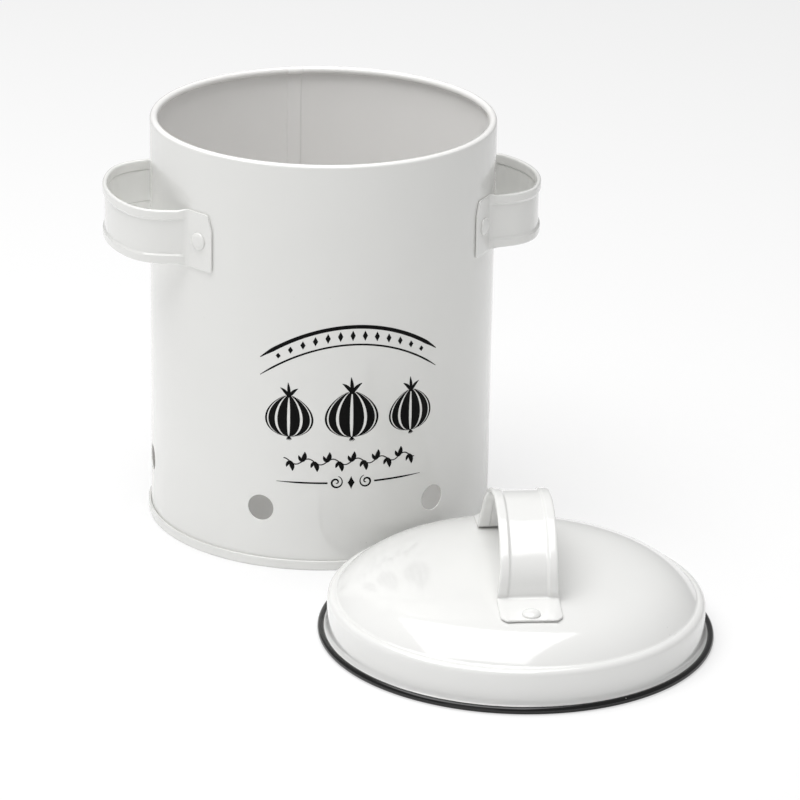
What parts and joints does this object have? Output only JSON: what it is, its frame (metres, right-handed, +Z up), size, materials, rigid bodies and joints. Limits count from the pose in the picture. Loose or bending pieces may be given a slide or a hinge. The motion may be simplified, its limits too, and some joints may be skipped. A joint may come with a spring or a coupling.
{
  "type": "vented storage bin with loose lid",
  "caption": "Round white coated-steel kitchen storage bin for onions or potatoes, with side strap handles, air vents near the foot and a loose domed lid lying beside it.",
  "frame": {"origin": "centre of the bin's round foot, on the plane that the bin and its lid stand on", "axes": "+Z up along the bin's own axis, the side with the label's place faces -Y, and the two side handles are on -X (left) and +X (right)"},
  "size_m": [0.2659, 0.3488, 0.206],
  "materials": {
    "coated_steel": "gloss",
    "black_coat": "gloss"
  },
  "bodies": {
    "bin": {"body_shell": "coated_steel", "base_pan": "coated_steel", "left_handle": "coated_steel", "right_handle": "coated_steel", "left_front_rivet": "coated_steel", "left_rear_rivet": "coated_steel", "right_front_rivet": "coated_steel", "right_rear_rivet": "coated_steel"},
    "lid": {"lid_shell": "coated_steel", "lid_edge_ring": "black_coat", "lid_handle": "coated_steel", "lid_front_rivet": "coated_steel", "lid_rear_rivet": "coated_steel"}
  },
  "joints": [
    {"name": "lid_lift", "type": "slide", "parent": "bin", "child": "lid", "axis": [0, 0, 1], "range_m": [0, 0.25]}
  ]
}
